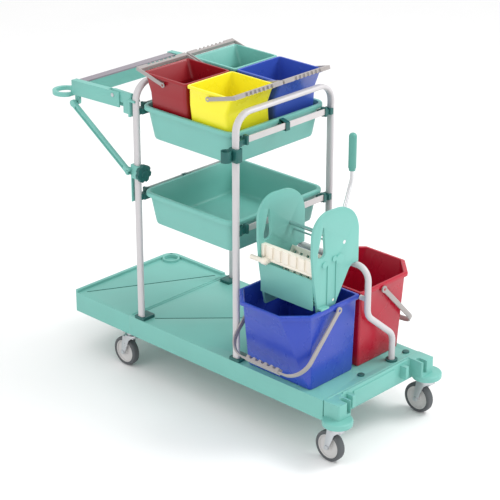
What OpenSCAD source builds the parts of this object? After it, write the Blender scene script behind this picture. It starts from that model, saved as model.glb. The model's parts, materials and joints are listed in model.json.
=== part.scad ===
// Housekeeping cart: two inverted-U tube frames on a moulded base with four swivel
// casters, two hung trays, a folding bag holder, four small buckets, two mop buckets
// and a lever wringer.
// X runs along the cart to the mop-bucket end, Y across it, Z up from the floor.

/* [Tube frames] */
// Distance between the two tube frames along the cart
frame_span = 430; // [360:5:520]
// Distance between the two legs of a frame
frame_w = 424; // [380:4:520]
// Height of the top run's centreline
frame_h = 1000; // [960:10:1200]
// Width of the flat-oval tube along the cart
tube_l = 25; // [22:1:28]
// Thickness of the flat-oval tube across the cart
tube_t = 15; // [13:1:18]
// Wall of the tube
tube_wall = 1.5; // [1:0.25:2.5]
// Centreline radius of the frame's top bends
bend_r = 57; // [45:1:70]

/* [Base] */
// Height of the deck's top face above the floor
deck_z = 198; // [190:1:240]
// Height of the base's side skirt
skirt_h = 68; // [60:1:80]
// Length of the bag platform
bag_l = 266; // [240:2:320]
// Length of the mop-bucket bay beyond the right frame
bay_l = 370; // [350:5:420]
// Wall of the base mouldings
base_wall = 4; // [3:0.5:6]
// Thickness of the deck plate
deck_t = 5; // [4:0.5:8]
// Height of the lip round the bag platform
lip_h = 8; // [4:1:14]

/* [Casters] */
// Wheel diameter
wheel_d = 100; // [80:5:110]
// Width of the tyre's tread
wheel_w = 25; // [20:1:30]
// Distance from the swivel axis to the axle
trail = 27; // [20:1:34]

/* [Trays] */
// Depth of a tray
tray_h = 110; // [80:5:140]
// Height of the upper tray's rim
tray_top_z = 936; // [900:2:960]
// Height of the lower tray's rim
tray_low_z = 651; // [580:2:700]
// Wall of the trays
tray_wall = 3; // [2:0.5:5]
// How much a tray narrows to its floor on each side
tray_draft = 15; // [6:1:24]

/* [Small buckets] */
// Height of a small bucket
small_h = 214; // [150:2:260]
// Wall of a small bucket
small_wall = 2.5; // [2:0.5:4]

/* [Mop buckets] */
// Length of a mop bucket's rim along the cart
mop_l = 292; // [280:2:300]
// Height of a mop bucket
mop_h = 257; // [220:1:300]
// How far the outer side overhangs the bucket's foot
mop_flare = 82; // [40:2:100]
// Wall of a mop bucket
mop_wall = 3; // [2:0.5:5]

/* [Wringer] */
// Length of the wringer along the cart
wring_l = 226; // [190:2:240]
// Height of the side plates' tops above the bucket rims
wring_h = 302; // [260:2:340]
// Thickness of a side plate
plate_t = 9; // [6:1:12]
// Diameter of the lever's rod
rod_d = 12; // [9:1:14]

/* [Bag holder] */
// Reach of the bag holder from the left frame
bag_reach = 290; // [250:5:320]
// Height of its arms
arm_h = 48; // [36:1:56]
// Thickness of its arms
arm_t = 22; // [20:1:26]
// Inner diameter of the handle ring
ring_bore = 60; // [50:1:80]

/* [Hidden] */

$fn = 48;
eps = 0.01;
// Clearance of pieces that sit in or round one another
fit = 0.3;
// Clearance of pieces that move past one another
run = 1.5;

teal = "#8FCBC1";
dark_teal = "#2F6F6A";
steel_grey = "#C9C6C8";
light_grey = "#BDB7B4";
ivory = "#F0EBE0";

// ---- places along the cart, measured from the middle of its length ----
bumper_r = 47;
// the right swivel axes stand this far past the deck's end
swivel_out = 48;
ring_r = ring_bore / 2 + 12;
// centre of the ring past the arm's end
ring_out = ring_bore / 2 + 8;
reach_left = bag_reach + ring_out + ring_r;
reach_right = frame_span + bay_l + swivel_out + bumper_r;
leg_l = (reach_left - reach_right) / 2;
leg_r = leg_l + frame_span;
leg_y = frame_w / 2;
seam_x = leg_l - 48;
bag_x = seam_x - bag_l;
deck_end = leg_r + bay_l;
side_y = leg_y + 13;
skirt_z = deck_z - skirt_h;
corner_r = 8;

// ---- casters ----
swivel_r_x = deck_end + swivel_out;
swivel_l_x = leg_l - 60;
swivel_r_y = leg_y;
swivel_l_y = leg_y - 9;
fork_w = wheel_w + 6;
fork_t = 3;
head_z = skirt_z - 2;

// ---- trays and buckets ----
tray_gap = 1.5;
rim_out = 10;
rim_h = 14;
tray_l = frame_span - tube_l - 2 * tray_gap;
tray_w = frame_w;
tray_r = 30;
tray_x = (leg_l + leg_r) / 2;
tray_floor_z = tray_top_z - tray_h + tray_wall;
bracket_h = 20;
// clear space left in the tray's floor, shared by two small buckets each way
floor_l = tray_l - 2 * (rim_out + tray_draft + tray_wall);
floor_w = tray_w - 2 * (rim_out + tray_draft + tray_wall);
// half the gap between two rims in which the bails' arms swing
bail_gap = 8.5;
bail_t = 4;
small_l = tray_l / 2 - 10;
small_w = tray_w / 2 - bail_gap - 6;
small_foot_l = floor_l / 2 - 8;
small_foot_w = floor_w / 2 - 12;
// each foot is centred on its quarter of the tray's floor
small_dx = small_l / 2 + 1.5 - floor_l / 4;
small_dy = small_w / 2 + bail_gap - floor_w / 4;
small_bail_r = small_l / 2 + 22;
small_bail_rise = 20;

// ---- mop buckets ----
mop_gap = 2;
mop_x = deck_end - 52 - mop_l / 2;
mop_foot = deck_z + fit;
mop_rim_z = mop_foot + mop_h;
mop_chamfer = 66;
mop_foot_in = 15;
mop_pivot_y = leg_y - 107;
mop_pivot_z = mop_rim_z - 18;
mop_bail_r = 246;
mop_bail_a = 44;
mop_bail_half = mop_l / 2 + 8;
mop_bail_bend = 70;

// ---- wringer and its support tube ----
wring_x = mop_x + mop_l / 2 - 17 - wring_l / 2;
support_d = 20;
support_x = deck_end - 22;
support_y = -3;
support_foot_y = leg_y - 91;
support_top_z = mop_rim_z + 93;
axle_y = -leg_y + 150;
axle_z = mop_rim_z + 185;
jaw_pivot_y = -leg_y + 104;
jaw_pivot_z = mop_rim_z + 12;

// ---- bag holder ----
hinge_x = leg_l - 95;
hinge_z = tray_top_z + 9;
pin_d = 8;
arm_top = tray_top_z + 14;
arm_bottom = arm_top - arm_h;
arm_end = leg_l - bag_reach;
beam_w = 40;
strut_top_x = leg_l - bag_reach + 16;
strut_top_z = arm_bottom - 24;
strut_t = 12;
strut_w = 18;
strut_y = leg_y + arm_t / 2 + 3 + strut_t / 2;
collar_pin_x = leg_l - 22;
collar_z = tray_top_z - 225;
collar_h = 44;
strut_run = collar_pin_x - strut_top_x;
strut_drop = strut_top_z - collar_z;
strut_len = sqrt(strut_run * strut_run + strut_drop * strut_drop);
strut_a = atan2(strut_drop, strut_run);
mouth_a = 28.5;
knob_d = 58;

// ================= shared shapes =================

// Rectangle with rounded corners, centred
module rounded_rect(l, w, r) {
    square([l - 2 * r, w], center = true);
    square([l, w - 2 * r], center = true);
    for (sx = [-1, 1], sy = [-1, 1])
        translate([sx * (l / 2 - r), sy * (w / 2 - r)]) circle(r);
}

// Flat oval, l long and t thick, centred
module flat_oval(l, t) {
    square([l - t, t], center = true);
    for (s = [-1, 1]) translate([s * (l - t) / 2, 0]) circle(d = t);
}

// Rounded block between two heights
module block(x0, x1, y0, y1, z0, z1, r = 3) {
    translate([(x0 + x1) / 2, (y0 + y1) / 2, z0])
        linear_extrude(z1 - z0) rounded_rect(x1 - x0, y1 - y0, r);
}

// Plain box between two corners
module box(x0, x1, y0, y1, z0, z1) {
    translate([x0, y0, z0]) cube([x1 - x0, y1 - y0, z1 - z0]);
}

// Copies its children to the far side as well
module both_sides() {
    children();
    mirror([0, 1, 0]) children();
}

// Rod along Y, centred at y
module rod_y(x, y, z, d, l) {
    translate([x, y, z]) rotate([90, 0, 0]) cylinder(d = d, h = l, center = true);
}

// Rod along X, centred at x
module rod_x(x, y, z, d, l) {
    translate([x, y, z]) rotate([0, 90, 0]) cylinder(d = d, h = l, center = true);
}

// ================= base =================

// Cells left open under a moulding, so that ribs stay between them
module rib_cells(x0, x1, y_half, z0, z1, nx, ny) {
    rib = 3;
    cell_l = (x1 - x0 - (nx - 1) * rib) / nx;
    cell_w = (2 * y_half - (ny - 1) * rib) / ny;
    for (i = [0 : nx - 1], j = [0 : ny - 1])
        translate([x0 + i * (cell_l + rib), -y_half + j * (cell_w + rib), z0])
            cube([cell_l, cell_w, z1 - z0]);
}

// Plan of the far leg's socket, grown by g; it reaches inward from the leg
socket_w = 46;
module socket_plan(g) {
    translate([0, side_y - base_wall - leg_y - socket_w / 2])
        rounded_rect(tube_l + 12 + 2 * g, socket_w + 2 * g, 4);
}

module leg_places() {
    for (x = [leg_l, leg_r], m = [0, 1])
        mirror([0, m, 0]) translate([x, leg_y, 0]) children();
}

tongue_l = 60;
tongue_y = side_y - base_wall - fit;
module base_main() {
    color(teal) difference() {
        union() {
            translate([(seam_x + deck_end) / 2, 0, skirt_z])
                linear_extrude(skirt_h) rounded_rect(deck_end - seam_x, 2 * side_y, corner_r);
            // square shoulders where the end beam meets the deck and at the seam
            box(deck_end - 20, deck_end, -side_y, side_y, skirt_z, deck_z);
            box(seam_x, seam_x + 20, -side_y, side_y, skirt_z, deck_z);
            // tongue that carries the bag platform and the left casters
            box(seam_x - tongue_l, seam_x + eps, -tongue_y, tongue_y, skirt_z, deck_z - deck_t - fit);
            // double bead across the deck at the seam
            for (k = [4, 14])
                rod_y(seam_x + k, 0, deck_z, 6, 2 * side_y - 20);
        }
        rib_cells(seam_x + base_wall, deck_end - base_wall, side_y - base_wall,
                  skirt_z - 1, deck_z - deck_t, 6, 3);
        box(seam_x - tongue_l + 44, seam_x + base_wall - 1, -120, 120, skirt_z - 1, deck_z - deck_t - 8);
        leg_places() translate([0, 0, skirt_z + 6]) linear_extrude(skirt_h) socket_plan(fit);
        support_hole(fit);
        deck_plug_holes(fit);
        for (s = [-1, 1])
            translate([swivel_l_x, s * swivel_l_y, skirt_z]) cylinder(d = 11 + 2 * fit, h = 45);
    }
}

cup_d = 48;
cup_depth = 6;
module bag_outline(inset) {
    // right-hand corners are square so that the platform meets the main base
    difference() {
        union() {
            translate([(bag_x + seam_x) / 2, 0]) rounded_rect(bag_l - 2 * inset, 2 * (side_y - inset), 6);
            translate([seam_x - 20 - inset, -side_y + inset]) square([20, 2 * (side_y - inset)]);
        }
        // the far left corner is rounded off round the cup
        translate([bag_x + inset, side_y - inset]) corner_cut(38 - inset);
    }
}

module bag_platform() {
    y0 = side_y - base_wall;
    cup_x = bag_x + 40;
    cup_y = side_y - 40;
    lip_w = 12;
    color(teal) difference() {
        union() {
            translate([0, 0, skirt_z]) linear_extrude(skirt_h) bag_outline(0);
            // raised lip along the left end and the far side
            translate([0, 0, deck_z - eps]) linear_extrude(lip_h) difference() {
                bag_outline(0);
                translate([bag_x + lip_w, -side_y - 1]) square([bag_l, 2 * side_y + 1 - lip_w]);
            }
            translate([cup_x, cup_y, deck_z - eps]) cylinder(d = cup_d + 12, h = lip_h);
        }
        intersection() {
            rib_cells(bag_x + base_wall, seam_x - tongue_l - 4, y0, skirt_z - 1,
                      deck_z - deck_t - cup_depth, 2, 3);
            translate([0, 0, skirt_z - 1]) linear_extrude(skirt_h) bag_outline(base_wall);
        }
        box(seam_x - tongue_l - fit, seam_x + 1, -y0, y0, skirt_z - 1, deck_z - deck_t);
        translate([cup_x, cup_y, deck_z - cup_depth + 2]) cylinder(d = cup_d, h = cup_depth + lip_h);
    }
}

// What is cut off a corner at the origin, on its -X +Y side, to round it to radius r
module corner_cut(r) {
    difference() {
        translate([-1, -r]) square([r + 1, r + 1]);
        translate([r, -r]) circle(r);
    }
}

block_in = 45;
block_l = swivel_out + 16;
notch_w = 17;
module end_beam() {
    face_x = deck_end + 15;
    color(teal) difference() {
        union() {
            // beam across the end with two raised edge lines
            box(deck_end, face_x, -side_y + 8, side_y - 8, skirt_z, deck_z);
            rod_y(deck_end + 4, 0, deck_z, 6, 2 * side_y - 30);
            rod_y(face_x - 3, 0, deck_z, 6, 2 * (side_y - 75));
            // plain label plate on the outer face
            box(face_x - eps, face_x + 3, -104, 90, skirt_z + 8, deck_z - 8);
            both_sides() {
                // corner block over a caster
                block(deck_end, deck_end + block_l, leg_y - block_in, side_y, skirt_z + 12, deck_z + 2, 7);
                // round bumper at its foot
                translate([swivel_r_x, swivel_r_y, skirt_z]) {
                    cylinder(r = bumper_r - 5, h = 20);
                    translate([0, 0, 5]) cylinder(r = bumper_r, h = 10);
                    for (z = [5, 15])
                        translate([0, 0, z]) rotate_extrude() translate([bumper_r - 5, 0]) circle(5);
                }
                // lug beside the handle notch
                block(face_x - 2, face_x + 24, leg_y - 92, leg_y - 78, skirt_z + 20, deck_z - 6, 3);
            }
        }
        both_sides() {
            // notch that takes a tool handle, open at the top and the end
            notch_y = leg_y - block_in + 14;
            box(deck_end + 38, deck_end + block_l + 1, notch_y - notch_w / 2, notch_y + notch_w / 2,
                deck_z - 38, deck_z + 10);
            translate([deck_end + 38, notch_y, deck_z - 38]) cylinder(d = notch_w, h = 60);
            translate([swivel_r_x, swivel_r_y, skirt_z - 1]) cylinder(d = 11 + 2 * fit, h = 46);
        }
    }
}

plug_xs = deck_end - 24;
plug_ys = [-leg_y + 190, leg_y - 18];
module deck_plug_holes(g) {
    for (y = plug_ys)
        translate([plug_xs, y, deck_z - 12]) cylinder(d = 16 + 2 * g, h = 20);
}

module support_hole(g) {
    translate([support_x, support_foot_y, skirt_z + 8]) cylinder(d = support_d + 10 + 2 * g, h = skirt_h);
}

module deck_sockets() {
    foot_z = skirt_z + 6;
    color(dark_teal) {
        leg_places() difference() {
            union() {
                translate([0, 0, foot_z]) linear_extrude(skirt_h - 6) socket_plan(0);
                translate([0, 0, deck_z]) linear_extrude(10) socket_plan(3);
            }
            translate([0, 0, foot_z + 6]) linear_extrude(skirt_h + 20)
                flat_oval(tube_l + 2 * fit, tube_t + 2 * fit);
        }
        for (y = plug_ys) translate([plug_xs, y, deck_z - 12]) {
            cylinder(d = 16, h = 12);
            translate([0, 0, 12]) cylinder(d = 22, h = 4);
        }
        difference() {
            union() {
                translate([support_x, support_foot_y, skirt_z + 8])
                    cylinder(d = support_d + 10, h = skirt_h - 8);
                translate([support_x, support_foot_y, deck_z]) cylinder(d = support_d + 18, h = 6);
            }
            translate([support_x, support_foot_y, skirt_z + 14])
                cylinder(d = support_d + 2 * fit, h = skirt_h + 20);
        }
    }
}

// ================= tube frames =================

frame_foot = skirt_z + 12;
// Path of a frame in its own plane, with the section shrunk by s on every side
module frame_path(s) {
    leg_top = frame_h - bend_r;
    rotate([90, 0, 90]) {
        for (k = [-1, 1])
            translate([k * leg_y, frame_foot - s, 0]) rotate([-90, 0, 0])
                linear_extrude(leg_top - frame_foot + s) rotate(90) flat_oval(tube_l - 2 * s, tube_t - 2 * s);
        for (k = [0, 1]) mirror([k, 0, 0])
            translate([leg_y - bend_r, leg_top, 0])
                rotate_extrude(angle = 90, $fn = 96) translate([bend_r, 0])
                    rotate(90) flat_oval(tube_l - 2 * s, tube_t - 2 * s);
        translate([-leg_y + bend_r, frame_h, 0]) rotate([0, 90, 0])
            linear_extrude(2 * (leg_y - bend_r)) flat_oval(tube_l - 2 * s, tube_t - 2 * s);
    }
}

module frame_tube(x) {
    color(steel_grey) translate([x, 0, 0]) difference() {
        frame_path(0);
        frame_path(tube_wall);
    }
}

module frame_left() { frame_tube(leg_l); }
module frame_right() { frame_tube(leg_r); }

// ================= trays =================

// Thin rounded slab, for the hulls of the tapered tubs
module slab(l, w, r, z) {
    translate([0, 0, z]) linear_extrude(0.5) rounded_rect(l, w, r, $fn = 32);
}

// Tapered tub from z0 to z1, narrowing by draft on each side at its floor
module tub(l, w, r, draft, z0, z1) {
    hull() {
        slab(l - 2 * draft, w - 2 * draft, r, z0);
        slab(l, w, r, z1 - 0.5);
    }
}

module tray(rim_z) {
    body_l = tray_l - 2 * rim_out;
    body_w = tray_w - 2 * rim_out;
    color(teal) translate([tray_x, 0, rim_z - tray_h]) difference() {
        union() {
            tub(body_l, body_w, tray_r, tray_draft, 0, tray_h);
            translate([0, 0, tray_h - rim_h]) linear_extrude(rim_h)
                rounded_rect(tray_l, tray_w, tray_r + 8);
        }
        tub(body_l - 2 * tray_wall, body_w - 2 * tray_wall, tray_r - tray_wall, tray_draft,
            tray_wall, tray_h + 0.5);
        // the rim is rolled over, so it is hollow from below
        translate([0, 0, tray_h - rim_h - 1]) linear_extrude(rim_h - 2) difference() {
            rounded_rect(tray_l - 5, tray_w - 5, tray_r + 6);
            rounded_rect(body_l + 1, body_w + 1, tray_r + 1);
        }
    }
}

module tray_upper() { tray(tray_top_z); }
module tray_lower() { tray(tray_low_z); }

strip_h = 20;
strip_t = 4;
strip_half = leg_y - 38;
// back of the strip from the tray's middle, and its foot from the rim's lower edge
strip_x = frame_span / 2 + 8;
strip_z = -14;
hook_t = 3;
module tray_strips() {
    color(light_grey) for (z = [tray_top_z, tray_low_z], m = [0, 1])
        translate([tray_x, 0, z - rim_h]) mirror([m, 0, 0])
            box(strip_x, strip_x + strip_t, -strip_half, strip_half, strip_z, strip_z + strip_h);
}

// Bracket on the inner side of a leg; it carries a tray's rim and hooks round a strip's end
module leg_bracket() {
    half = frame_span / 2;
    front = strip_x + strip_t;
    difference() {
        union() {
            block(half - 14, half + 13, leg_y - 16, leg_y - 1, -bracket_h, 0, 3);
            box(half - 19, strip_x, leg_y - 44, leg_y - 9, -bracket_h, -2 - fit);
            box(half - 3, strip_x, leg_y - 44, leg_y - 33, -bracket_h, strip_z + strip_h + hook_t);
            box(strip_x - eps, front + hook_t, leg_y - 41, leg_y - 33, -bracket_h,
                strip_z + strip_h + hook_t);
        }
        translate([half, leg_y, -bracket_h - 1]) linear_extrude(bracket_h + 2)
            flat_oval(tube_l + 0.2, tube_t + 0.2);
        // slot that the strip slides into
        box(strip_x, front + fit, 0, strip_half + fit, strip_z - fit, strip_z + strip_h + fit);
    }
}

module tray_brackets() {
    half = frame_span / 2;
    color(dark_teal) for (z = [tray_top_z, tray_low_z], m = [0, 1])
        translate([tray_x, 0, z - rim_h]) mirror([m, 0, 0]) {
            both_sides() leg_bracket();
            // middle bracket, hooked under the rim and round the strip
            difference() {
                box(half - 19, strip_x + strip_t + hook_t, -9, 9, -bracket_h, rim_h - 1);
                box(half - 30, tray_l / 2 + fit, -10, 10, 0, rim_h);
                box(strip_x, strip_x + strip_t + fit, -10, 10, strip_z - fit, strip_z + strip_h + fit);
                // sloped down from the rim to the strip
                translate([half - 13, 0, rim_h - 1]) rotate([0, 14, 0]) box(-5, 60, -10, 10, 0, 20);
            }
        }
}

// Spring clip on the near right leg that holds a tool's handle
clip_z = tray_top_z - 80;
clip_d = 26;
module tool_clip() {
    cx = leg_r - 12;
    cy = -leg_y - 30;
    color(dark_teal) difference() {
        union() {
            block(leg_r - 18, leg_r + 18, -leg_y - 14, -leg_y + 12, clip_z, clip_z + 42, 4);
            translate([cx, cy, clip_z + 4]) cylinder(d = clip_d + 9, h = 34);
            box(cx - 9, cx + 9, cy, -leg_y - 10, clip_z + 4, clip_z + 38);
        }
        translate([leg_r, -leg_y, clip_z - 1]) linear_extrude(60) flat_oval(tube_l + 0.2, tube_t + 0.2);
        translate([cx, cy, clip_z - 1]) cylinder(d = clip_d, h = 60);
        // mouth toward the near left
        translate([cx, cy, clip_z + 20]) rotate([0, 0, 225]) translate([0, -9, -30]) cube([40, 18, 60]);
    }
}

// ================= casters =================

caster_places = [[swivel_l_x, -swivel_l_y], [swivel_l_x, swivel_l_y],
                 [swivel_r_x, -swivel_r_y], [swivel_r_x, swivel_r_y]];

module caster_stems() {
    color(steel_grey) for (p = caster_places) translate([p[0], p[1], 0]) {
        translate([0, 0, head_z - 8]) cylinder(d = 34, h = skirt_z - head_z + 8);
        translate([0, 0, skirt_z]) cylinder(d = 11, h = 40);
    }
}

module fork(i) {
    p = caster_places[i];
    crown_z = head_z - 8 - 0.5;
    axle_z0 = wheel_d / 2;
    color(light_grey) translate([p[0], p[1], 0]) {
        // bearing cup and crown
        difference() {
            translate([0, 0, crown_z - 8]) cylinder(d = 46, h = 8);
            translate([0, 0, crown_z - 2]) cylinder(d = 20, h = 10);
        }
        box(-26, 22, -fork_w / 2, fork_w / 2, crown_z - 11, crown_z - 7.9);
        for (s = [-1, 1]) translate([0, s * (fork_w / 2 + fork_t / 2), 0]) rotate([90, 0, 0])
            translate([0, 0, -fork_t / 2]) linear_extrude(fork_t) {
                translate([-trail, axle_z0]) circle(d = 18);
                polygon([[-26, crown_z - 7.9], [16, crown_z - 7.9], [2, crown_z - 20],
                         [-trail + 8.5, axle_z0], [-trail - 8.5, axle_z0]]);
            }
        // axle bolt with its head and nut
        rod_y(-trail, 0, axle_z0, 8, fork_w + 2 * fork_t + 2);
        for (s = [-1, 1]) rod_y(-trail, s * (fork_w / 2 + fork_t + 2), axle_z0, 14, 4);
    }
}

module hub(i) {
    p = caster_places[i];
    web = 8;
    rim_d = wheel_d - 22;
    color(light_grey) translate([p[0] - trail, p[1], wheel_d / 2]) rotate([90, 0, 0]) difference() {
        union() {
            cylinder(d = rim_d, h = wheel_w - 3, center = true);
            cylinder(d = 22, h = fork_w - 2 * 0.5, center = true);
        }
        for (s = [0, 1]) mirror([0, 0, s]) translate([0, 0, web / 2]) difference() {
            cylinder(d = rim_d - 9, h = wheel_w);
            cylinder(d = 22, h = wheel_w * 2, center = true);
        }
        cylinder(d = 8.1, h = 60, center = true);
    }
}

module tyre(i) {
    p = caster_places[i];
    shoulder = 4;
    inner = wheel_d / 2 - 11;
    color("#606468") translate([p[0] - trail, p[1], wheel_d / 2]) rotate([90, 0, 0])
        rotate_extrude($fn = 96) {
            translate([inner, -wheel_w / 2]) square([11 - shoulder, wheel_w]);
            translate([inner, -wheel_w / 2 + shoulder]) square([11, wheel_w - 2 * shoulder]);
            for (s = [-1, 1])
                translate([wheel_d / 2 - shoulder, s * (wheel_w / 2 - shoulder)]) circle(shoulder);
        }
}

module fork_near_left() { fork(0); }
module fork_far_left() { fork(1); }
module fork_near_right() { fork(2); }
module fork_far_right() { fork(3); }
module hub_near_left() { hub(0); }
module hub_far_left() { hub(1); }
module hub_near_right() { hub(2); }
module hub_far_right() { hub(3); }
module tyre_near_left() { tyre(0); }
module tyre_far_left() { tyre(1); }
module tyre_near_right() { tyre(2); }
module tyre_far_right() { tyre(3); }

// ================= bag holder =================

tongue_t = 12;
// Bracket on the near left leg: saddle, wraps and the hinge tongue
module bag_bracket() {
    back = leg_l - tube_l / 2;
    y_in = tube_t / 2 + fit;
    top = frame_h - bend_r + 4;
    translate([0, -leg_y, 0]) difference() {
        union() {
            box(back - 11, back - fit, -y_in - 5, y_in + 5, tray_top_z + 4, top);
            box(back - 11, back - 3.5, -y_in - 5, y_in + 5, tray_top_z - 46, tray_top_z + 5);
            for (s = [-1, 1]) translate([0, s * (y_in + 2.5), 0])
                box(back - 5, leg_l + 6, -2.5, 2.5, tray_top_z + 4, top);
            box(hinge_x, back - 5, -tongue_t / 2, tongue_t / 2, hinge_z - 18, hinge_z + 18);
            rod_y(hinge_x, 0, hinge_z, 36, tongue_t);
            // web under the tongue
            box(back - 40, back - 5, -tongue_t / 2, tongue_t / 2, hinge_z - 50, hinge_z);
        }
        rod_y(hinge_x, 0, hinge_z, pin_d + 0.1, 40);
    }
}

module bag_bracket_near() { color(teal) bag_bracket(); }
module bag_bracket_far() { color(teal) mirror([0, 1, 0]) bag_bracket(); }

// Arm of the bag frame, with cheeks at its hinge end and a lug for the strut
module bag_arm() {
    cheek_end = leg_l - 66;
    cheek_in = tongue_t / 2 + 0.5;
    slot_end = hinge_x - 24;
    translate([0, -leg_y, 0]) difference() {
        union() {
            rotate([90, 0, 0]) translate([0, 0, -arm_t / 2]) linear_extrude(arm_t)
                polygon([[arm_end, arm_bottom], [arm_end, arm_top], [cheek_end, arm_top + 10],
                         [cheek_end, arm_bottom + 8]]);
            box(strut_top_x - 7, strut_top_x + 9, -6, 6, strut_top_z - 2, arm_bottom + 6);
            rod_y(strut_top_x, 0, strut_top_z, 16, 12);
        }
        box(slot_end, cheek_end + 1, -cheek_in, cheek_in, arm_bottom - 1, arm_top + 20);
        rod_y(hinge_x, 0, hinge_z, pin_d + 0.1, 60);
        rod_y(strut_top_x, 0, strut_top_z, pin_d + 0.1, 60);
        // the arm is cored out from the inside
        box(arm_end + beam_w + 4, slot_end - 4, -arm_t / 2 + 4, arm_t, arm_bottom + 8, arm_top - 4);
    }
}

module bag_frame() {
    color(teal) {
        both_sides() bag_arm();
        difference() {
            box(arm_end, arm_end + beam_w, -leg_y, leg_y, arm_bottom, arm_top - 6);
            box(arm_end + 4, arm_end + beam_w - 4, -leg_y + 12, leg_y - 12, arm_bottom - 1, arm_top - 11);
            // rabbet for the flap's hinge rod
            rod_y(arm_end + 8, 0, arm_top - 6, 9, 2 * leg_y - arm_t);
        }
    }
}

// Grey strip that clamps the edge of the bag on the beam
module bag_flap() {
    half = leg_y - arm_t / 2 - 1.5;
    color("#8E8790") {
        translate([arm_end + 8, 0, arm_top - 6]) rotate([90, 0, 0])
            cylinder(d = 8, h = 2 * half, center = true);
        block(arm_end + 9, arm_end + beam_w, -half, half, arm_top - 6 + fit, arm_top - 1, 1.5);
    }
}

// Ring at the near arm's end that a tool's handle drops through
module handle_ring() {
    ring_z = arm_bottom - 6;
    ring_h = 13;
    color(teal) translate([arm_end - ring_out, -leg_y - 5, ring_z]) difference() {
        union() {
            cylinder(r = ring_r, h = ring_h);
            box(0, ring_out, -16, 16, 0, ring_h);
            box(ring_out - 6, ring_out, -6, 16, 0, 34);
        }
        translate([0, 0, -1]) cylinder(d = ring_bore, h = ring_h + 2);
        box(ring_out, ring_out + 40, -60, 60, -1, 60);
    }
}

module hinge_pins() {
    color(steel_grey) both_sides() {
        rod_y(hinge_x, -leg_y, hinge_z, pin_d, arm_t + 2);
        for (s = [-1, 1]) rod_y(hinge_x, -leg_y + s * (arm_t / 2 + 1), hinge_z, 13, 2);
    }
}

// Strut from the arm's lug down to the collar's pin, ending in an open hook
module strut() {
    translate([strut_top_x, -strut_y, strut_top_z]) rotate([0, strut_a, 0]) difference() {
        union() {
            box(0, strut_len, -strut_t / 2, strut_t / 2, -strut_w / 2, strut_w / 2);
            rod_y(0, 0, 0, strut_w + 4, strut_t);
            rod_y(strut_len, 0, 0, strut_w + 4, strut_t);
            // the strut's own pin through the arm's lug
            translate([0, -strut_t / 2, 0]) rotate([-90, 0, 0])
                cylinder(d = pin_d, h = strut_y - leg_y + strut_t / 2 + 8);
        }
        // groove along the near face
        box(16, strut_len - 22, -strut_t, -strut_t / 2 + 4, -strut_w / 2 + 4, strut_w / 2 - 4);
        // hook's seat and its mouth, which opens the way the collar's pin leaves it
        translate([strut_len, 0, 0]) rotate([0, -mouth_a, 0]) {
            rod_y(0, 0, 0, pin_d + 3, 40);
            box(0, 40, -20, 20, -pin_d / 2 - 1.5, pin_d / 2 + 1.5);
        }
    }
}

module strut_near() { color(teal) strut(); }
module strut_far() { color(teal) mirror([0, 1, 0]) strut(); }

// Collar that slides on the leg and carries the strut's pin and the clamp knob
module collar() {
    back = leg_l - tube_l / 2 - 8;
    y_out = tube_t / 2 + 5;
    translate([0, -leg_y, collar_z]) difference() {
        union() {
            block(back, leg_l + tube_l / 2 + 7, -y_out, y_out, -collar_h / 2, collar_h / 2, 3);
            // guide plate that runs down the leg's back
            box(back, back + 3.5, -y_out + 2, y_out - 2, -104, 0);
            // pin on the outer side
            box(collar_pin_x - 8, leg_l - tube_l / 2, -y_out - 1, -y_out + 2, -12, 12);
            translate([collar_pin_x, 0, 0]) rotate([90, 0, 0])
                cylinder(d = pin_d, h = strut_y - leg_y + strut_t / 2);
        }
        translate([leg_l, 0, -collar_h]) linear_extrude(2 * collar_h)
            flat_oval(tube_l + 2 * fit, tube_t + 2 * fit);
        // split at the front that the knob pulls shut
        rod_x(leg_l + tube_l / 2 + 5, 0, 0, pin_d + 0.1, 30);
    }
}

module collar_near() { color(teal) collar(); }
module collar_far() { color(teal) mirror([0, 1, 0]) collar(); }

// Lobed hand knob with its screw
module clamp_knob() {
    front = leg_l + tube_l / 2 + 7 + 0.5;
    lobes = 7;
    translate([front, -leg_y, collar_z]) rotate([0, 90, 0]) {
        difference() {
            cylinder(d = knob_d, h = 12);
            for (i = [0 : lobes - 1]) rotate([0, 0, i * 360 / lobes])
                translate([knob_d / 2 + 3, 0, -1]) cylinder(d = 14, h = 20);
        }
        translate([0, 0, 12]) cylinder(d = 24, h = 3);
        translate([0, 0, -6.5]) cylinder(d = pin_d, h = 7);
    }
}

module clamp_knob_near() { color(dark_teal) clamp_knob(); }
module clamp_knob_far() { color(dark_teal) mirror([0, 1, 0]) clamp_knob(); }

// ================= small buckets =================

spout = 24;
// Small bucket with its rim centred on the origin; its spout faces +X, the tray's edge +Y
module small_shell(s) {
    hull() {
        translate([-small_dx, -small_dy, 0]) slab(small_foot_l - 2 * s, small_foot_w - 2 * s, 12, s);
        translate([-spout / 2, 0, 0])
            slab(small_l - 2 * rim_small - 2 * s - spout, small_w - 2 * rim_small - 2 * s, 12, small_h - 60);
        slab(small_l - 2 * rim_small - 2 * s, small_w - 2 * rim_small - 2 * s, 10,
             small_h - 0.5 + (s > 0 ? 1 : 0));
    }
}

rim_small = 5;
ear_d = 12;
module small_bucket() {
    difference() {
        union() {
            small_shell(0);
            translate([0, 0, small_h - 9]) linear_extrude(9) rounded_rect(small_l, small_w, 12);
        }
        small_shell(small_wall);
        translate([0, 0, small_h - 10]) linear_extrude(7) difference() {
            rounded_rect(small_l - 4, small_w - 4, 10);
            rounded_rect(small_l - 2 * rim_small + 1, small_w - 2 * rim_small + 1, 10);
        }
    }
    // ears that the bail turns on
    both_sides() translate([0, small_w / 2 - rim_small - 4, small_h - 22]) rotate([-90, 0, 0]) {
        cylinder(d = ear_d, h = rim_small + 4.5);
        cylinder(d = 6, h = rim_small + 4 + bail_t + 1.5);
    }
}
// ear's height follows the bail's pivot
small_pivot_h = small_h - 22;

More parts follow.
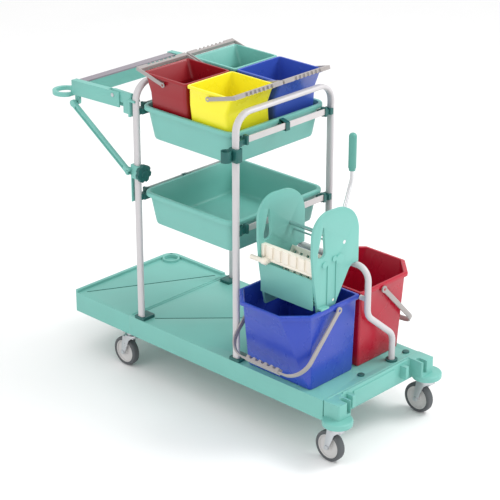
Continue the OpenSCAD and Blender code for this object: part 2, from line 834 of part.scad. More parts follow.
// [x side, y side] of each bucket: its spout and bail point outward
module place_small(sx, sy) {
    translate([tray_x + sx * (small_l / 2 + 1.5), sy * (small_w / 2 + bail_gap), tray_floor_z + fit])
        mirror([sx < 0 ? 1 : 0, 0, 0]) mirror([0, sy < 0 ? 1 : 0, 0]) children();
}

module small_bucket_red() { color("#A52A33") place_small(-1, -1) small_bucket(); }
module small_bucket_yellow() { color("#F4EE45") place_small(1, -1) small_bucket(); }
module small_bucket_green() { color(teal) place_small(-1, 1) small_bucket(); }
module small_bucket_blue() { color("#3F57B5") place_small(1, 1) small_bucket(); }

// Bail folded over the spout side, with a grip cut for the fingers
module small_bail() {
    y_in = small_w / 2 + 0.8;
    lift = atan2(small_bail_rise + 10, small_bail_r);
    translate([0, 0, small_pivot_h]) rotate([0, -lift, 0]) difference() {
        union() {
            both_sides() {
                box(0, small_bail_r, y_in, y_in + bail_t, -6, 6);
                rod_y(0, y_in + bail_t / 2, 0, 16, bail_t);
            }
            box(small_bail_r - 16, small_bail_r, -y_in - bail_t, y_in + bail_t, -6, 6);
        }
        both_sides() rod_y(0, y_in, 0, 6.6, 40);
        for (i = [-3 : 3]) translate([small_bail_r, i * 18, 0]) box(-6, 4, -6, 6, -20, 20);
    }
}

module small_bail_red() { color(light_grey) place_small(-1, -1) small_bail(); }
module small_bail_yellow() { color(light_grey) place_small(1, -1) small_bail(); }
module small_bail_green() { color(light_grey) place_small(-1, 1) small_bail(); }
module small_bail_blue() { color(light_grey) place_small(1, 1) small_bail(); }

// ================= mop buckets =================

// Outline of a mop bucket in plan: inner side at y_in, outer side at y_out, two cut corners
function mop_outline(half, y_in, y_out, cut) =
    [[-half, y_in], [half, y_in], [half, y_out + cut], [half - cut, y_out],
     [-half + cut, y_out], [-half, y_out + cut]];

module mop_slab(half, y_in, y_out, cut, z) {
    translate([0, 0, z]) linear_extrude(0.5) polygon(mop_outline(half, y_in, y_out, cut));
}

rim_mop = 7;
// Near bucket's solid, shrunk by s; the inner side faces the cart's middle
module mop_shell(s) {
    top_half = mop_l / 2 - rim_mop - s;
    foot_half = mop_l / 2 - mop_foot_in - s;
    y_in = -mop_gap - rim_mop - s;
    hull() {
        mop_slab(foot_half, -mop_gap - 10 - s, -leg_y + 6 + s, 6, s);
        mop_slab(top_half, y_in, -leg_y - mop_flare + mop_gap + rim_mop + s, mop_chamfer,
                 mop_h - 0.5 + (s > 0 ? 1 : 0));
    }
}

module mop_bucket() {
    y_in = -mop_gap;
    y_out = -leg_y - mop_flare + mop_gap;
    translate([mop_x, 0, mop_foot]) {
        difference() {
            union() {
                mop_shell(0);
                translate([0, 0, mop_h - 14]) linear_extrude(14)
                    polygon(mop_outline(mop_l / 2, y_in, y_out, mop_chamfer));
            }
            mop_shell(mop_wall);
            translate([0, 0, mop_h - 15]) linear_extrude(12) difference() {
                polygon(mop_outline(mop_l / 2 - 2.5, y_in - 2.5, y_out + 2.5, mop_chamfer));
                polygon(mop_outline(mop_l / 2 - rim_mop + 0.5, y_in - rim_mop + 0.5, y_out + rim_mop - 0.5,
                                    mop_chamfer));
            }
        }
        // ears at both ends for the bail
        for (m = [0, 1]) mirror([m, 0, 0])
            translate([mop_l / 2 - rim_mop - 4, -mop_pivot_y, mop_pivot_z - mop_foot]) rotate([0, 90, 0]) {
                cylinder(d = 18, h = rim_mop + 4.5);
                cylinder(d = 8, h = rim_mop + 4 + 8);
            }
    }
}

module mop_bucket_blue() { color("#3F57B5") mop_bucket(); }
module mop_bucket_red() { color("#B01030") mirror([0, 1, 0]) mop_bucket(); }

strap_w = 16;
strap_t = 5;
// Strap of a mop bucket's bail, flat: two arms that turn into the grip in round bends
module mop_strap() {
    r = mop_bail_bend;
    half = mop_bail_half;
    arm_l = mop_bail_r - r;
    for (m = [0, 1]) mirror([m, 0, 0]) {
        translate([half - strap_t, 0]) square([strap_t, arm_l]);
        translate([half - r, arm_l]) intersection() {
            difference() {
                circle(r, $fn = 96);
                circle(r - strap_t, $fn = 96);
            }
            square(r);
        }
    }
    translate([r - half, mop_bail_r - strap_t]) square([2 * (half - r), strap_t]);
}

// Bail of a mop bucket, hanging down the outer side
module mop_bail() {
    grip_back = mop_bail_r - strap_t - 9;
    translate([mop_x, -mop_pivot_y, mop_pivot_z]) rotate([270 - mop_bail_a, 0, 0]) difference() {
        union() {
            translate([0, 0, -strap_w / 2]) linear_extrude(strap_w) mop_strap();
            for (m = [0, 1]) mirror([m, 0, 0])
                translate([mop_bail_half - strap_t, 0, 0]) rotate([0, 90, 0])
                    cylinder(d = 22, h = strap_t);
            // finger grip
            box(-66, 66, grip_back, mop_bail_r + 3, -11, 11);
        }
        for (i = [-2 : 2]) translate([i * 24, grip_back, 0]) cylinder(d = 16, h = 60, center = true);
        rod_x(0, 0, 0, 8.8, 2 * mop_bail_half + 20);
    }
}

module mop_bail_blue() { color(light_grey) mop_bail(); }
module mop_bail_red() { color(light_grey) mirror([0, 1, 0]) mop_bail(); }

// ================= support tube and wringer =================

// Arc in a plane across the cart at x, about [y, z], as a list of points
function arc_across(x, y, z, r, a0, a1, n) =
    [for (i = [0 : n]) let (a = a0 + (a1 - a0) * i / n) [x, y + r * cos(a), z + r * sin(a)]];
// Arc in a plane along the cart at y, about [x, z]
function arc_along(x, y, z, r, a0, a1, n) =
    [for (i = [0 : n]) let (a = a0 + (a1 - a0) * i / n) [x + r * cos(a), y, z + r * sin(a)]];

function unit(v) = v / norm(v);
// Direction of a path at its point i
function path_way(p, i) = unit(p[min(i + 1, len(p) - 1)] - p[max(i - 1, 0)]);

// Round bar of diameter d along a path of points
module bar_along(path, d, sides = 24) {
    aside = unit([0.5, -1, 0]);
    rings = [for (i = [0 : len(path) - 1])
        let (t = path_way(path, i), u = unit(cross(t, aside)), v = cross(t, u))
            for (k = [0 : sides - 1])
                let (a = 360 * k / sides) path[i] + d / 2 * (cos(a) * u + sin(a) * v)];
    last = (len(path) - 1) * sides;
    polyhedron(rings, concat(
        [[for (k = [0 : sides - 1]) k]],
        [for (i = [0 : len(path) - 2], k = [0 : sides - 1])
            let (a = i * sides + k, b = i * sides + (k + 1) % sides) [a, a + sides, b + sides, b]],
        [[for (k = [sides - 1 : -1 : 0]) last + k]]), convexity = 6);
}

// Route of the support tube: foot, S-bend toward the middle, run over the buckets
swan_r = 50;
swan_a = 50;
swan_shift = support_foot_y - support_y;
swan_slope = (swan_shift - 2 * swan_r * (1 - cos(swan_a))) / sin(swan_a);
swan_z = mop_rim_z - 190;
swan_rise = 2 * swan_r * sin(swan_a) + swan_slope * cos(swan_a);
swan_top_r = 42;
support_end = wring_x - wring_l / 2 - 6;
support_route = concat(
    [[support_x, support_foot_y, skirt_z + 14]],
    arc_across(support_x, support_foot_y - swan_r, swan_z, swan_r, 0, swan_a, 6),
    arc_across(support_x, support_y + swan_r, swan_z + swan_rise, swan_r, 180 + swan_a, 180, 6),
    arc_along(support_x - swan_top_r, support_y, support_top_z - swan_top_r, swan_top_r, 0, 90, 9),
    [[support_end, support_y, support_top_z]]);

module support_tube() {
    stop_z = mop_rim_z - 9;
    stop_x = mop_x + mop_l / 2 + run;
    color(steel_grey) {
        bar_along(support_route, support_d);
        // stub that the buckets' end rims stand against
        translate([stop_x, support_y, stop_z]) rotate([0, 90, 0]) cylinder(d = 16, h = support_x - stop_x);
    }
}

// Outline of a side plate: [across, up] from the near rim's level
function plate_y(v) = -leg_y + v;
function plate_z(v) = mop_rim_z + v;
module plate_outline() {
    front_r = 70;
    back_r = 96;
    top = wring_h;
    // the plate's belly sits on the support tube's run
    seat = support_top_z + support_d / 2 + fit;
    polygon([[plate_y(44), plate_z(-50)], [plate_y(34), plate_z(0)], [plate_y(19), plate_z(92)],
             [plate_y(10), plate_z(172)], [plate_y(10), plate_z(top - front_r)],
             [plate_y(80), plate_z(top)], [plate_y(120), plate_z(top - 2)],
             [plate_y(216), plate_z(top - 2 - back_r)], [plate_y(216), seat], [plate_y(188), seat],
             [plate_y(174), seat - 10], [plate_y(118), plate_z(4)], [plate_y(96), plate_z(-50)]]);
    translate([plate_y(80), plate_z(top - front_r)]) circle(front_r);
    translate([plate_y(120), plate_z(top - 2 - back_r)]) circle(back_r);
}

// Teardrop slot through a side plate
module teardrop() {
    translate([plate_y(49), plate_z(178)]) circle(d = 34);
    polygon([[plate_y(32.2), plate_z(181)], [plate_y(65.8), plate_z(181)], [plate_y(58), plate_z(256)],
             [plate_y(53), plate_z(256)]]);
    translate([plate_y(55.5), plate_z(256)]) circle(d = 5);
}

// Extrudes a Y-Z outline along X from x0
module wall_x(x0, t) {
    translate([x0, 0, 0]) rotate([90, 0, 90]) linear_extrude(t) children();
}

module wringer_body() {
    x0 = wring_x - wring_l / 2;
    x1 = wring_x + wring_l / 2;
    color(teal) difference() {
        union() {
            wall_x(x0, plate_t) plate_outline();
            wall_x(x1 - plate_t, plate_t) plate_outline();
            // front panel
            box(x0 + plate_t - eps, x1 - plate_t + eps, plate_y(20), plate_y(25), plate_z(0), plate_z(98));
            // sloping back panel
            wall_x(x0 + plate_t - eps, wring_l - 2 * plate_t + 2 * eps)
                polygon([[plate_y(112), plate_z(0)], [plate_y(118), plate_z(0)], [plate_y(176), plate_z(100)],
                         [plate_y(170), plate_z(100)]]);
            // floor grate
            box(x0 + plate_t - eps, x1 - plate_t + eps, plate_y(46), plate_y(94), plate_z(2), plate_z(7));
            // bosses and ribs on the outer face
            for (p = [[128, 138, 34], [60, 138, 20], [104, 146, 18]])
                rod_x(x1 + 2, plate_y(p[0]), plate_z(p[1]), p[2], 4 + eps);
            for (v = [74, 112]) box(x1 - eps, x1 + 3, plate_y(v), plate_y(v) + 4, plate_z(6), plate_z(130));
            // ledge on the bucket's end rim
            box(x1 - eps, x1 + 15, plate_y(36), plate_y(70), plate_z(fit), plate_z(6));
        }
        wall_x(x0 - 1, wring_l + 10) teardrop();
        // bores for the lever's axle and the jaws' pins
        rod_x(wring_x, axle_y, axle_z, rod_d + 0.1, wring_l + 20);
        rod_x(wring_x, jaw_pivot_y, jaw_pivot_z, pin_d + 0.1, wring_l + 20);
        // slots of the floor grate
        for (i = [-4 : 4]) box(wring_x + i * 20 - 5, wring_x + i * 20 + 5, plate_y(52), plate_y(88),
                               plate_z(0), plate_z(9));
    }
}

rod_places = [[176, 172], [168, 158]];
module wringer_rods() {
    color("#D5D5D5") for (p = rod_places)
        rod_x(wring_x, plate_y(p[0]), plate_z(p[1]), 6, wring_l - 2 * plate_t);
}

// Ivory front jaw: a ribbed bar across the mouth with a pin end on the left
module front_jaw() {
    x0 = wring_x - wring_l / 2 + plate_t;
    l = wring_l - 2 * plate_t;
    pin_thick = 15;
    // latch pin: centre across and up, and where its collar starts along the cart
    latch_y = plate_y(8);
    latch_z = plate_z(109);
    latch_x = x0 + 18;
    color(ivory) {
        difference() {
            box(x0, x0 + l, plate_y(22), plate_y(40), plate_z(116), plate_z(154));
            for (i = [0 : 5]) box(x0 + 12 + i * 32, x0 + 22 + i * 32, plate_y(10), plate_y(27),
                                  plate_z(100), plate_z(160));
        }
        // roller below the bar
        rod_x(x0 + l / 2, plate_y(31), plate_z(110), pin_thick, l);
        // latch pin that passes in front of the left plate, with its collar
        rod_x(x0 + 4, latch_y, latch_z, pin_thick, 66);
        rod_x(latch_x + 8, latch_y, latch_z, 20, 14);
        box(latch_x, latch_x + 16, latch_y, plate_y(31), latch_z - pin_thick / 2,
            latch_z + pin_thick / 2);
    }
}

jaw_len = 112;
jaw_a = 59;
// Ivory press jaw: a comb that swings forward from the sloping back
module press_jaw() {
    x0 = wring_x - wring_l / 2 + plate_t + run;
    l = wring_l - 2 * plate_t - 2 * run;
    color(ivory) {
        translate([0, jaw_pivot_y, jaw_pivot_z]) rotate([jaw_a - 90, 0, 0]) difference() {
            box(x0, x0 + l, -4, 3, 0, jaw_len);
            for (i = [0 : 6]) box(x0 + 14 + i * 27, x0 + 24 + i * 27, -10, 10, 18, jaw_len - 14);
        }
        rod_x(wring_x, jaw_pivot_y, jaw_pivot_z, 14, l);
        rod_x(wring_x, jaw_pivot_y, jaw_pivot_z, pin_d, wring_l);
    }
}

lever_bend_y = axle_y + 64;
lever_bend_z = axle_z + 174;
lever_lean = atan2(lever_bend_y - axle_y, lever_bend_z - axle_z);
grip_l = 118;
lever_x = wring_x + wring_l / 2 - plate_t - 22;
// Steel lever on its axle: a leaning length, then an upright one
module wringer_lever() {
    leaning = sqrt(pow(lever_bend_y - axle_y, 2) + pow(lever_bend_z - axle_z, 2));
    color("#D5D5D5") {
        rod_x(wring_x, axle_y, axle_z, rod_d, wring_l);
        translate([lever_x, axle_y, axle_z]) rotate([-lever_lean, 0, 0]) cylinder(d = rod_d, h = leaning);
        translate([lever_x, lever_bend_y, lever_bend_z]) {
            sphere(d = rod_d);
            cylinder(d = rod_d, h = 110);
        }
    }
}

module lever_grip() {
    color("#4F958C") translate([lever_x, lever_bend_y, lever_bend_z + 26]) difference() {
        union() {
            cylinder(d = 20, h = 8);
            translate([0, 0, 8]) cylinder(d = 24, h = grip_l - 20);
            translate([0, 0, grip_l - 12]) sphere(d = 24);
        }
        translate([0, 0, -1]) cylinder(d = rod_d + 0.1, h = 85.1);
    }
}

base_main();
bag_platform();
end_beam();
deck_sockets();
frame_left();
frame_right();
tray_upper();
tray_lower();
tray_strips();
tray_brackets();
tool_clip();
caster_stems();
fork_near_left();
fork_far_left();
fork_near_right();
fork_far_right();
hub_near_left();
hub_far_left();
hub_near_right();
hub_far_right();
tyre_near_left();
tyre_far_left();
tyre_near_right();
tyre_far_right();
bag_bracket_near();
bag_bracket_far();
bag_frame();
handle_ring();
bag_flap();
hinge_pins();
strut_near();
strut_far();
collar_near();
collar_far();
clamp_knob_near();
clamp_knob_far();
small_bucket_red();
small_bucket_yellow();
small_bucket_green();
small_bucket_blue();
small_bail_red();
small_bail_yellow();
small_bail_green();
small_bail_blue();
mop_bucket_blue();
mop_bucket_red();
mop_bail_blue();
mop_bail_red();
support_tube();
wringer_body();
wringer_rods();
front_jaw();
press_jaw();
wringer_lever();
lever_grip();
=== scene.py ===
import json
import math

import bmesh
import bpy
from mathutils import Matrix, Vector


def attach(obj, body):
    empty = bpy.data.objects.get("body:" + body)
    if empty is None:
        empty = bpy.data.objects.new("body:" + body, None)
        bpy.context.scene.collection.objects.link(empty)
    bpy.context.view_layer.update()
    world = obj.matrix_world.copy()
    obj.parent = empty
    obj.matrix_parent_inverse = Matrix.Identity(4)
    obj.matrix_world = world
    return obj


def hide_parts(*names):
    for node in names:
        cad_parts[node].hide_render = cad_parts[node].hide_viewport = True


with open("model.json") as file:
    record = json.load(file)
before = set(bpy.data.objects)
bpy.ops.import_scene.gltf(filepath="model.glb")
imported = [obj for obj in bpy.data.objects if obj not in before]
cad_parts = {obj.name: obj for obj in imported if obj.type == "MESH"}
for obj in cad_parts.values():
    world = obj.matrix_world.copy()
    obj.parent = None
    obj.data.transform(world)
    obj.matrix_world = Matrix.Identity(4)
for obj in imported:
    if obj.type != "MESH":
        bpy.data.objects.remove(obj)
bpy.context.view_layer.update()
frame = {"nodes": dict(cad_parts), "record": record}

# ================= studio =================
# The cart stands on a pale seamless floor under large soft boxes: one high behind its right
# end that lights the end faces, one wide and low from the front that fills the near side.
MM = 0.001
LOOK_FROM = Vector((3576.45, -3718.22, 2697.04)) * MM
LOOK_AT = Vector((130.09, -111.81, 528.04)) * MM
LENS = 127.0
FILM = 36.0
FLOOR_SIZE = 60.0
scene = bpy.context.scene
scene.view_settings.view_transform = "Standard"


def linear(code):
    """Linear RGBA of an sRGB hex colour."""
    parts = [int(code[i : i + 2], 16) / 255 for i in (1, 3, 5)]
    return (*[c / 12.92 if c <= 0.04045 else ((c + 0.055) / 1.055) ** 2.4 for c in parts], 1.0)


def add(tree, kind, sockets=None, **settings):
    """Adds a node with its settings; each socket takes a constant or another node's output."""
    node = tree.nodes.new(kind)
    for key, value in settings.items():
        setattr(node, key, value)
    for key, value in (sockets or {}).items():
        if isinstance(value, bpy.types.NodeSocket):
            tree.links.new(value, node.inputs[key])
        else:
            node.inputs[key].default_value = value
    return node


def aim(item, place, target):
    item.location = place
    item.rotation_euler = (Vector(target) - Vector(place)).to_track_quat("-Z", "Y").to_euler()


camera_data = bpy.data.cameras.new("camera")
camera_data.lens = LENS
camera_data.sensor_width = FILM
camera_data.clip_end = 100.0
camera = bpy.data.objects.new("camera", camera_data)
scene.collection.objects.link(camera)
aim(camera, LOOK_FROM, LOOK_AT)
scene.camera = camera

SOFT_BOXES = [
    ("key", (1.9, 1.7, 3.4), 1.6, 62.0),
    ("front_fill", (-0.6, -3.6, 2.4), 3.0, 22.0),
    ("end_fill", (4.2, -0.4, 1.5), 2.2, 14.0),
    ("top_fill", (-1.0, 0.4, 3.6), 2.4, 12.0),
]
for name, place, size, watts in SOFT_BOXES:
    lamp = bpy.data.lights.new(name, "AREA")
    lamp.size = size
    lamp.energy = watts
    holder = bpy.data.objects.new(name, lamp)
    scene.collection.objects.link(holder)
    aim(holder, place, (0.0, 0.0, 0.5))

world = bpy.data.worlds.new("white_room")
world.use_nodes = True
world.node_tree.nodes.clear()
sky = add(world.node_tree, "ShaderNodeBackground", {"Color": linear("#FFFFFF"), "Strength": 0.93})
add(world.node_tree, "ShaderNodeOutputWorld", {"Surface": sky.outputs[0]})
scene.world = world

paper = bpy.data.materials.new("backdrop_paper_matt")
paper.use_nodes = True
paper.node_tree.nodes.clear()
paper_place = add(paper.node_tree, "ShaderNodeTexCoord").outputs["Object"]
paper_noise = add(paper.node_tree, "ShaderNodeTexNoise", {"Vector": paper_place, "Scale": 3.0})
paper_tone = add(paper.node_tree, "ShaderNodeMix", {
    0: paper_noise.outputs[0], 6: linear("#FAFAFA"), 7: linear("#FDFDFD")}, data_type="RGBA")
paper_shader = add(paper.node_tree, "ShaderNodeBsdfPrincipled", {
    "Base Color": paper_tone.outputs[2], "Roughness": 0.9})
add(paper.node_tree, "ShaderNodeOutputMaterial", {"Surface": paper_shader.outputs[0]})
floor_mesh = bpy.data.meshes.new("floor")
half = FLOOR_SIZE / 2
floor_mesh.from_pydata([(-half, -half, 0), (half, -half, 0), (half, half, 0), (-half, half, 0)],
                       [], [(0, 1, 2, 3)])
floor_mesh.materials.append(paper)
floor = bpy.data.objects.new("floor", floor_mesh)
scene.collection.objects.link(floor)

# ================= deck =================
# The base is two ribbed trays of injection-moulded polypropylene that butt at a seam, with a
# cross beam at the right end and dark plugs pressed in round every tube foot.
DECK_TOP = 198.0
GROOVE_WIDTH, GROOVE_DEPTH = 6.0, 4.4
body_of = {n: b for b, names in frame["record"]["behaviour"]["bodies"].items() for n in names}


def moulded(name, colour, roughness, grain=1.1, depth=0.05, drift=0.07, cloud=110.0, gloss=0.5):
    """Moulded polymer: a slow drift of tone from the melt's flow, a fine spark-eroded grain and
    uneven sheen. grain, depth and cloud are in mm; the real grain is near 0.3 mm and is drawn
    about three times as coarse so that it shows."""
    material = bpy.data.materials.new(name)
    material.use_nodes = True
    tree = material.node_tree
    tree.nodes.clear()
    place = add(tree, "ShaderNodeTexCoord").outputs["Object"]
    flow = add(tree, "ShaderNodeTexNoise", {
        "Vector": place, "Scale": 1000.0 / cloud, "Detail": 4.0, "Roughness": 0.55})
    base = linear(colour)
    dark = (*[c * (1 - drift) for c in base[:3]], 1.0)
    light = (*[min(1.0, c * (1 + drift)) for c in base[:3]], 1.0)
    tone = add(tree, "ShaderNodeMix", {0: flow.outputs[0], 6: dark, 7: light}, data_type="RGBA")
    pits = add(tree, "ShaderNodeTexNoise", {
        "Vector": place, "Scale": 1000.0 / grain, "Detail": 2.0, "Roughness": 0.5})
    sheen = add(tree, "ShaderNodeMapRange", {
        "Value": flow.outputs[0], "From Min": 0.3, "From Max": 0.7,
        "To Min": roughness - 0.05, "To Max": roughness + 0.06})
    bump = add(tree, "ShaderNodeBump", {
        "Height": pits.outputs[0], "Strength": 0.6, "Distance": depth * MM})
    shader = add(tree, "ShaderNodeBsdfPrincipled", {
        "Base Color": tone.outputs[2], "Roughness": sheen.outputs[0], "Normal": bump.outputs[0],
        "IOR": 1.49, "Specular IOR Level": gloss})
    add(tree, "ShaderNodeOutputMaterial", {"Surface": shader.outputs[0]})
    return material


def traced(*nodes):
    """The CAD shape of some nodes as one welded mesh in mm, its flat faces made whole."""
    shape = bmesh.new()
    for node in nodes:
        shape.from_mesh(frame["nodes"][node].data)
    shape.transform(Matrix.Scale(1000.0, 4))
    bmesh.ops.remove_doubles(shape, verts=shape.verts, dist=0.02)
    bmesh.ops.dissolve_limit(shape, angle_limit=math.radians(1.0), verts=shape.verts,
                             edges=shape.edges)
    for face in shape.faces:
        face.material_index = 0
    return shape


def piece(name, shape, material, replaced, edge=0.0, segments=2, smooth=35.0, painted_shade=None):
    """Finishes a shape in mm as an object: edges rounded to edge mm, then tied to its body. Faces
    that were marked 1 wear the second material, a darker one painted as shade."""
    bmesh.ops.recalc_face_normals(shape, faces=shape.faces)
    shape.transform(Matrix.Scale(MM, 4))
    mesh = bpy.data.meshes.new(name)
    shape.to_mesh(mesh)
    shape.free()
    item = bpy.data.objects.new(name, mesh)
    scene.collection.objects.link(item)
    for face in mesh.polygons:
        face.use_smooth = True
    if edge:
        bevel = item.modifiers.new("rounding", "BEVEL")
        bevel.width = edge * MM
        bevel.segments = segments
        bevel.limit_method = "ANGLE"
        bevel.angle_limit = math.radians(smooth)
        bevel.harden_normals = True
        graph = bpy.context.evaluated_depsgraph_get()
        rounded = bpy.data.meshes.new_from_object(item.evaluated_get(graph))
        item.modifiers.clear()
        item.data = rounded
        rounded.name = name
    item.data.set_sharp_from_angle(angle=math.radians(smooth))
    item.data.materials.append(material)
    if painted_shade:
        item.data.materials.append(painted_shade)
    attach(item, body_of[replaced[0]])
    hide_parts(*replaced)
    return item


def press_groove(shape, start, end, width, depth):
    """Presses a vee into the deck's flat top: cuts it along the vee's three lines and across near
    both ends, lowers the middle line and marks the vee's faces for a darker material painted as
    shade."""
    start, end = Vector((*start, DECK_TOP)), Vector((*end, DECK_TOP))
    along = (end - start).normalized()
    across = Vector((-along.y, along.x, 0.0))
    fade = 14.0
    close = 0.05
    cuts = [(start + across * s, across) for s in (-width / 2, 0.0, width / 2)]
    cuts += [(p, along) for p in (start, start + along * fade, end - along * fade, end)]
    for point, normal in cuts:
        top = [f for f in shape.faces
               if abs(f.normal.z) > 0.99 and abs(f.calc_center_median().z - DECK_TOP) < close]
        around = list({e for f in top for e in f.edges}) + list({v for f in top for v in f.verts})
        bmesh.ops.bisect_plane(shape, geom=top + around, dist=0.001, plane_co=point,
                               plane_no=normal)
    length = (end - start).length
    for face in shape.faces:
        step = face.calc_center_median() - start
        if (abs(step.z) < close and abs(step.dot(across)) < width / 2
                and 0.0 < step.dot(along) < length):
            # faces marked 1 are painted darker as the shade inside the groove
            face.material_index = 1
    for vert in shape.verts:
        step = vert.co - start
        if (abs(step.z) < close and abs(step.dot(across)) < close
                and fade / 2 < step.dot(along) < length - fade / 2):
            vert.co.z -= depth


TEAL = moulded("polypropylene_teal_grained", "#76B9AF", 0.42)
DARK_TEAL = moulded("polypropylene_dark_teal_grained", "#1F5E5A", 0.45, cloud=40.0)
# painted shade in the pressed grooves: a darker teal laid on the vee's faces draws each as a dull
# dark line
PAINTED_GROOVE_SHADE = moulded("polypropylene_teal_painted_groove_shade", "#2E6F68", 0.7, cloud=30.0)

# the grooves in deck and platform take a darker teal painted as the shade inside them
deck = traced("base_main")
press_groove(deck, (-232.0, -182.0), (137.0, 182.0), GROOVE_WIDTH, GROOVE_DEPTH)
piece("deck", deck, TEAL, ["base_main"], edge=1.6, painted_shade=PAINTED_GROOVE_SHADE)
platform = traced("bag_platform")
press_groove(platform, (-548.0, -198.0), (-330.0, 196.0), GROOVE_WIDTH, GROOVE_DEPTH)
piece("bag_platform_tray", platform, TEAL, ["bag_platform"], edge=1.6,
      painted_shade=PAINTED_GROOVE_SHADE)
piece("end_cross_beam", traced("end_beam"), TEAL, ["end_beam"], edge=1.6)
piece("deck_plugs", traced("deck_sockets"), DARK_TEAL, ["deck_sockets"], edge=0.8)

# ================= tube frames =================
# Two bent arches of flat-oval steel tube, powder coated light grey, pressed into the deck's
# plugs; a third round tube with a swan neck stands at the right end and holds the buckets down.


def metal(name, colour, metallic, roughness, orange_peel=2.2, depth=0.03, coat=0.0):
    """Steel under zinc, chrome or powder coat: a faint orange-peel ripple, in mm, and a slow
    drift in how sharply it reflects."""
    material = bpy.data.materials.new(name)
    material.use_nodes = True
    tree = material.node_tree
    tree.nodes.clear()
    place = add(tree, "ShaderNodeTexCoord").outputs["Object"]
    peel = add(tree, "ShaderNodeTexNoise", {
        "Vector": place, "Scale": 1000.0 / orange_peel, "Detail": 1.0})
    patches = add(tree, "ShaderNodeTexNoise", {"Vector": place, "Scale": 18.0, "Detail": 3.0})
    base = linear(colour)
    dark = (*[c * 0.94 for c in base[:3]], 1.0)
    tone = add(tree, "ShaderNodeMix", {0: patches.outputs[0], 6: dark, 7: base},
               data_type="RGBA")
    dull = add(tree, "ShaderNodeMapRange", {
        "Value": patches.outputs[0], "From Min": 0.3, "From Max": 0.7,
        "To Min": roughness - 0.04, "To Max": roughness + 0.06})
    bump = add(tree, "ShaderNodeBump", {
        "Height": peel.outputs[0], "Strength": 0.5, "Distance": depth * MM})
    shader = add(tree, "ShaderNodeBsdfPrincipled", {
        "Base Color": tone.outputs[2], "Metallic": metallic, "Roughness": dull.outputs[0],
        "Normal": bump.outputs[0], "Coat Weight": coat, "Coat Roughness": 0.2})
    add(tree, "ShaderNodeOutputMaterial", {"Surface": shader.outputs[0]})
    return material


POWDER = metal("steel_powder_coated_grey", "#CBC8CA", 0.0, 0.36, coat=0.25)
for side in ("left", "right"):
    piece(f"arch_{side}", traced(f"frame_{side}"), POWDER, [f"frame_{side}"])
piece("swan_neck_tube", traced("support_tube"), POWDER, ["support_tube"])

# ================= casters =================
# Four swivel casters: a zinc-plated pressed-steel fork on a stem, a moulded wheel centre with a
# dished web, and a grey rubber tyre with round shoulders.
WHEEL_R = 50.0
TRAIL = 27.0
CASTERS = {"near_left": (-322.5, -203.0), "far_left": (-322.5, 203.0),
           "near_right": (585.5, -212.0), "far_right": (585.5, 212.0)}


def turned(shape, profile, centre, axis="Y", sides=64, loop=False):
    """Turns a profile of (radius, distance along the axis) round an axis through centre."""
    rows = []
    for radius, along in profile:
        ring = []
        for k in range(sides):
            a = 2 * math.pi * k / sides
            p, q = radius * math.cos(a), radius * math.sin(a)
            spot = {"X": (along, p, q), "Y": (p, along, q), "Z": (p, q, along)}[axis]
            ring.append(shape.verts.new(Vector(centre) + Vector(spot)))
        rows.append(ring)
    pairs = list(zip(rows, rows[1:])) + ([(rows[-1], rows[0])] if loop else [])
    for low, high in pairs:
        for k in range(sides):
            n = (k + 1) % sides
            shape.faces.new((low[k], low[n], high[n], high[k]))
    if not loop:
        shape.faces.new(rows[0])
        shape.faces.new(rows[-1])


ZINC = metal("steel_zinc_plated", "#C9CBCE", 1.0, 0.3, orange_peel=4.0)
WHEEL_GREY = moulded("nylon_moulded_grey", "#C9C7C6", 0.4, cloud=30.0)
RUBBER = moulded("rubber_tyre_grey", "#56595C", 0.68, grain=1.6, depth=0.12, cloud=25.0)
piece("caster_stem_heads", traced("caster_stems"), ZINC, ["caster_stems"], edge=0.5)
for name, (x, y) in CASTERS.items():
    piece(f"caster_fork_{name}", traced(f"fork_{name}"), ZINC, [f"fork_{name}"],
          edge=0.7)
    hub = bmesh.new()
    centre = (x - TRAIL, y, WHEEL_R)
    # from the bore outward and round the rim: boss, dished web, rim lip, then the same back
    half_hub = [(11.0, 14.2), (11.0, 6.0), (13.0, 4.6), (22.0, 4.2), (31.5, 5.0), (34.0, 6.4),
                (34.8, 9.4), (35.8, 10.8), (38.0, 11.0), (39.0, 10.2)]
    turned(hub, [(4.6, 14.2)] + half_hub + [(r, -d) for r, d in reversed(half_hub)]
           + [(4.6, -14.2)], centre, loop=True)
    piece(f"wheel_centre_{name}", hub, WHEEL_GREY, [f"hub_{name}"], smooth=28.0)
    tyre = bmesh.new()
    half_tyre = [(39.0, 12.2), (41.0, 12.5), (41.8, 12.0), (42.6, 12.5), (45.6, 12.3),
                 (48.0, 11.0), (49.4, 8.6), (49.9, 5.5), (50.0, 2.0)]
    turned(tyre, half_tyre + [(r, -d) for r, d in reversed(half_tyre)], centre, loop=True,
           sides=96)
    piece(f"wheel_tyre_{name}", tyre, RUBBER, [f"tyre_{name}"], smooth=50.0)

# ================= trays =================
# Two deep rectangular trays, moulded in the same teal polypropylene with a rolled rim, hang
# between the arches on dark clips; a pale strip runs along each end for labels.
TRAY_X, TRAY_L, TRAY_W, TRAY_H = -47.5, 402.0, 424.0, 110.0
TRAY_TOPS = {"upper": 936.0, "lower": 651.0}
TRAY_DRAFT = 15.0
TRAY_WALL = 3.0
TRAY_RIM = 10.0


